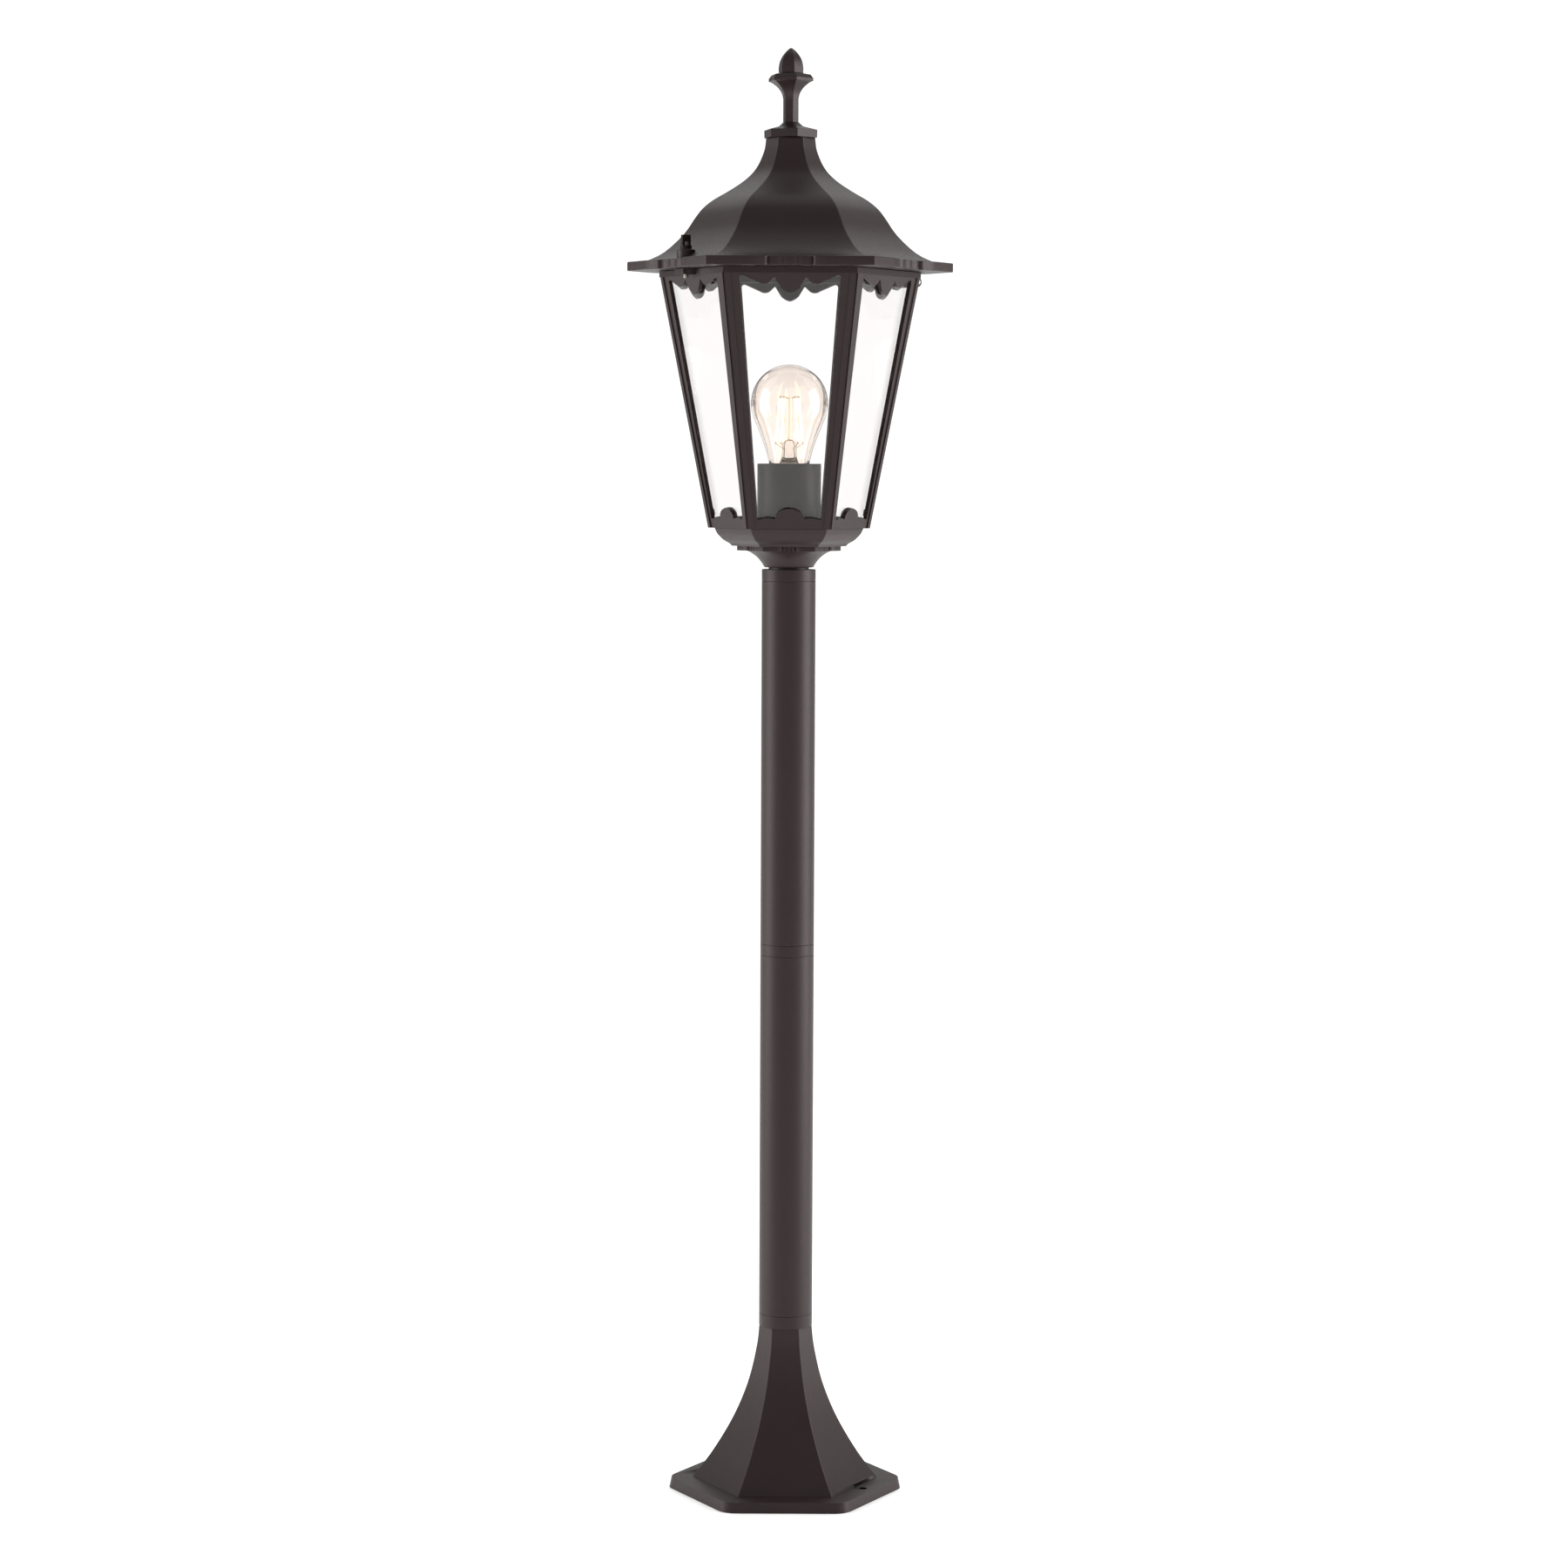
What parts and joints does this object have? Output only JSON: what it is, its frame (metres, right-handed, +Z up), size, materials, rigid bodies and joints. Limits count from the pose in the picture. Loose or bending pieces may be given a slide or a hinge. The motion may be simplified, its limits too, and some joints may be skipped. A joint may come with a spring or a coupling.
{
  "type": "post lantern",
  "caption": "Hexagonal garden post lantern: flared base, round pole, glazed tapering cage, hinged ogee roof with finial, and a screw-in bulb.",
  "frame": {"origin": "centre of the foot's underside", "axes": "+Z up the pole, -Y towards the front, a flat side of every hexagon"},
  "size_m": [0.253, 0.2192, 1.13],
  "materials": {
    "black_powder_coat": "fine-textured satin powder coat on cast and drawn aluminium",
    "clear_glass": "polished",
    "black_cup": "satin moulded",
    "cable_rubber": "matt sheath",
    "plated_steel": "zinc plated",
    "brass": "satin",
    "white_porcelain": "glazed porcelain",
    "bulb_glass": "clear, slightly amber",
    "bulb_metal": "rolled thread",
    "bulb_insulator": "black glass",
    "filament": "phosphor-coated strips, lit"
  },
  "bodies": {
    "lantern": {"base_casting": "black_powder_coat", "neck": "black_powder_coat", "scalloped_trim": "black_powder_coat", "bowl": "black_powder_coat", "floor_ring": "black_powder_coat", "top_ring": "black_powder_coat", "ring_hinge_bracket": "black_powder_coat", "pole_bottom_plug": "black_powder_coat", "pole_joint_socket": "black_powder_coat", "pole_top_collar": "black_powder_coat", "pole_lower_tube": "black_powder_coat", "pole_upper_tube": "black_powder_coat", "panel_frame_rear_right": "black_powder_coat", "glass_pane_rear_right": "clear_glass", "panel_frame_rear": "black_powder_coat", "glass_pane_rear": "clear_glass", "panel_frame_rear_left": "black_powder_coat", "glass_pane_rear_left": "clear_glass", "panel_frame_front_left": "black_powder_coat", "glass_pane_front_left": "clear_glass", "panel_frame_front": "black_powder_coat", "glass_pane_front": "clear_glass", "panel_frame_front_right": "black_powder_coat", "glass_pane_front_right": "clear_glass", "lampholder_cup": "black_cup", "terminal_block": "black_cup", "cable_clamp": "black_cup", "inner_cable": "cable_rubber", "terminal_bracket": "plated_steel", "bracket_screws": "plated_steel", "head_grub_screw": "plated_steel", "tube_nuts": "plated_steel", "threaded_tube": "plated_steel", "pole_joint_stub": "plated_steel", "pane_clips": "plated_steel", "floor_screws": "plated_steel", "ring_screws": "plated_steel", "hinge_pin": "plated_steel", "ring_hinge_screws": "plated_steel", "earth_screw": "brass", "lampholder_shell": "brass", "lampholder_contact": "brass", "lampholder_terminals": "brass", "lampholder_body": "white_porcelain"},
    "roof": {"roof": "black_powder_coat", "finial": "black_powder_coat", "finial_stud": "plated_steel", "finial_washer": "plated_steel", "finial_nut": "plated_steel", "roof_hinge_leaf": "black_powder_coat", "roof_hinge_screws": "plated_steel"},
    "screw_lift": {"thumb_screw_clip": "plated_steel"},
    "thumb_screw": {"thumb_screw_knob": "black_cup", "thumb_screw_shank": "plated_steel"},
    "bulb_lift": {"bulb_contact": "bulb_metal"},
    "bulb": {"bulb_glass": "bulb_glass", "bulb_cap": "bulb_metal", "bulb_insulator": "bulb_insulator", "bulb_stem": "bulb_glass", "bulb_filaments": "filament"}
  },
  "joints": [
    {"name": "roof_hinge", "type": "hinge", "parent": "lantern", "child": "roof", "pos_m": [0.0866, 0.05, 0.9525], "axis": [-0.5, 0.866, 0], "range_deg": [0, 100]},
    {"name": "thumb_screw_rise", "type": "slide", "parent": "roof", "child": "screw_lift", "axis": [0, 0, 1], "range_m": [0, 0.0084]},
    {"name": "thumb_screw_turn", "type": "hinge", "parent": "screw_lift", "child": "thumb_screw", "pos_m": [-0.07967, -0.046, 0.96], "axis": [0, 0, 1], "range_deg": [0, 4321]},
    {"name": "bulb_rise", "type": "slide", "parent": "lantern", "child": "bulb_lift", "axis": [0, 0, 1], "range_m": [0, 0.0218]},
    {"name": "bulb_turn", "type": "hinge", "parent": "bulb_lift", "child": "bulb", "pos_m": [0, 0, 0.79], "axis": [0, 0, 1], "range_deg": [0, 2160]}
  ],
  "couplings": [
    {"joint": "thumb_screw_turn", "follows": "thumb_screw_rise", "rad_per_m": 8976},
    {"joint": "bulb_rise", "follows": "bulb_turn", "m_per_rad": 0.00057773}
  ]
}
